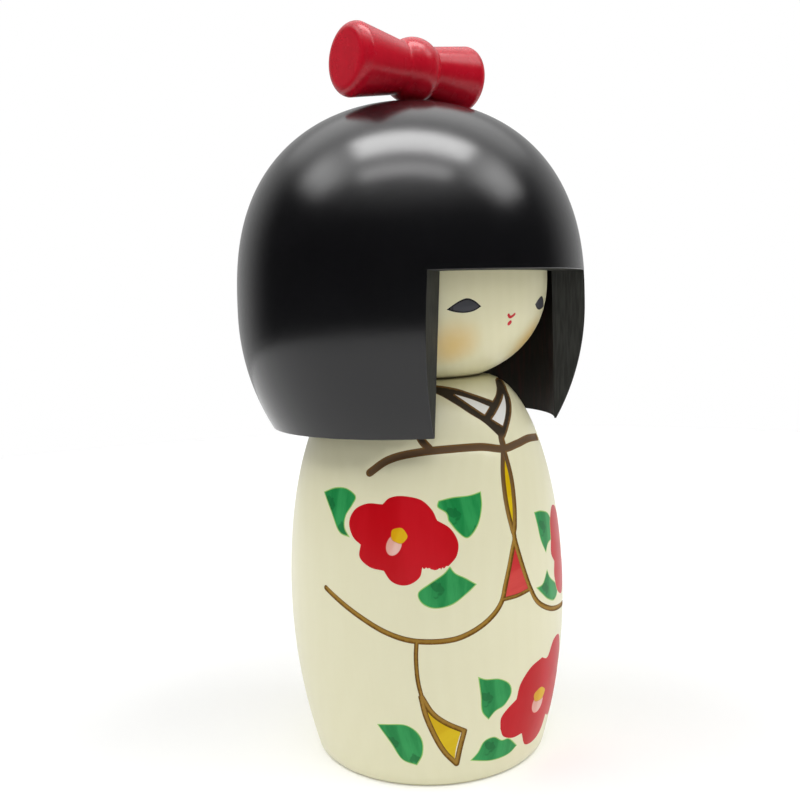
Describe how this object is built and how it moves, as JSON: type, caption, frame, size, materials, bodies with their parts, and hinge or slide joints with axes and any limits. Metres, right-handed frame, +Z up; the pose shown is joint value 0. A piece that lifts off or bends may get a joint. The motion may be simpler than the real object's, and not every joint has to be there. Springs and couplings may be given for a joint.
{
  "type": "kokeshi doll",
  "caption": "Turned and painted wooden doll with a barrel-shaped kimono body, a head that turns on a neck dowel, a black bobbed hair cap and a red bow on the crown.",
  "frame": {"origin": "centre of the flat face under the body, on the surface that the doll stands on", "axes": "+Z up along the neck dowel, the doll's face looks along -Y, +X is towards the doll's left hand"},
  "size_m": [0.0734, 0.0732, 0.1507],
  "materials": {
    "body_lacquer": "pale wood under clear satin lacquer, with incised and painted flowers and kimono lines",
    "face_lacquer": "pale wood under clear satin lacquer, with a painted face",
    "hair_lacquer": "black lacquer, satin gloss outside and matte on the sawn faces",
    "bow_lacquer": "glossy red lacquer",
    "bare_wood": "bare turned wood"
  },
  "bodies": {
    "base": {"body": "body_lacquer", "neck_dowel": "bare_wood"},
    "head_group": {"head": "face_lacquer", "hair_cap": "hair_lacquer", "bow": "bow_lacquer", "bow_peg": "bare_wood"}
  },
  "joints": [
    {"name": "head_turn", "type": "hinge", "parent": "base", "child": "head_group", "pos_m": [0, 0, 0.0795], "axis": [0, 0, 1], "continuous": true}
  ]
}
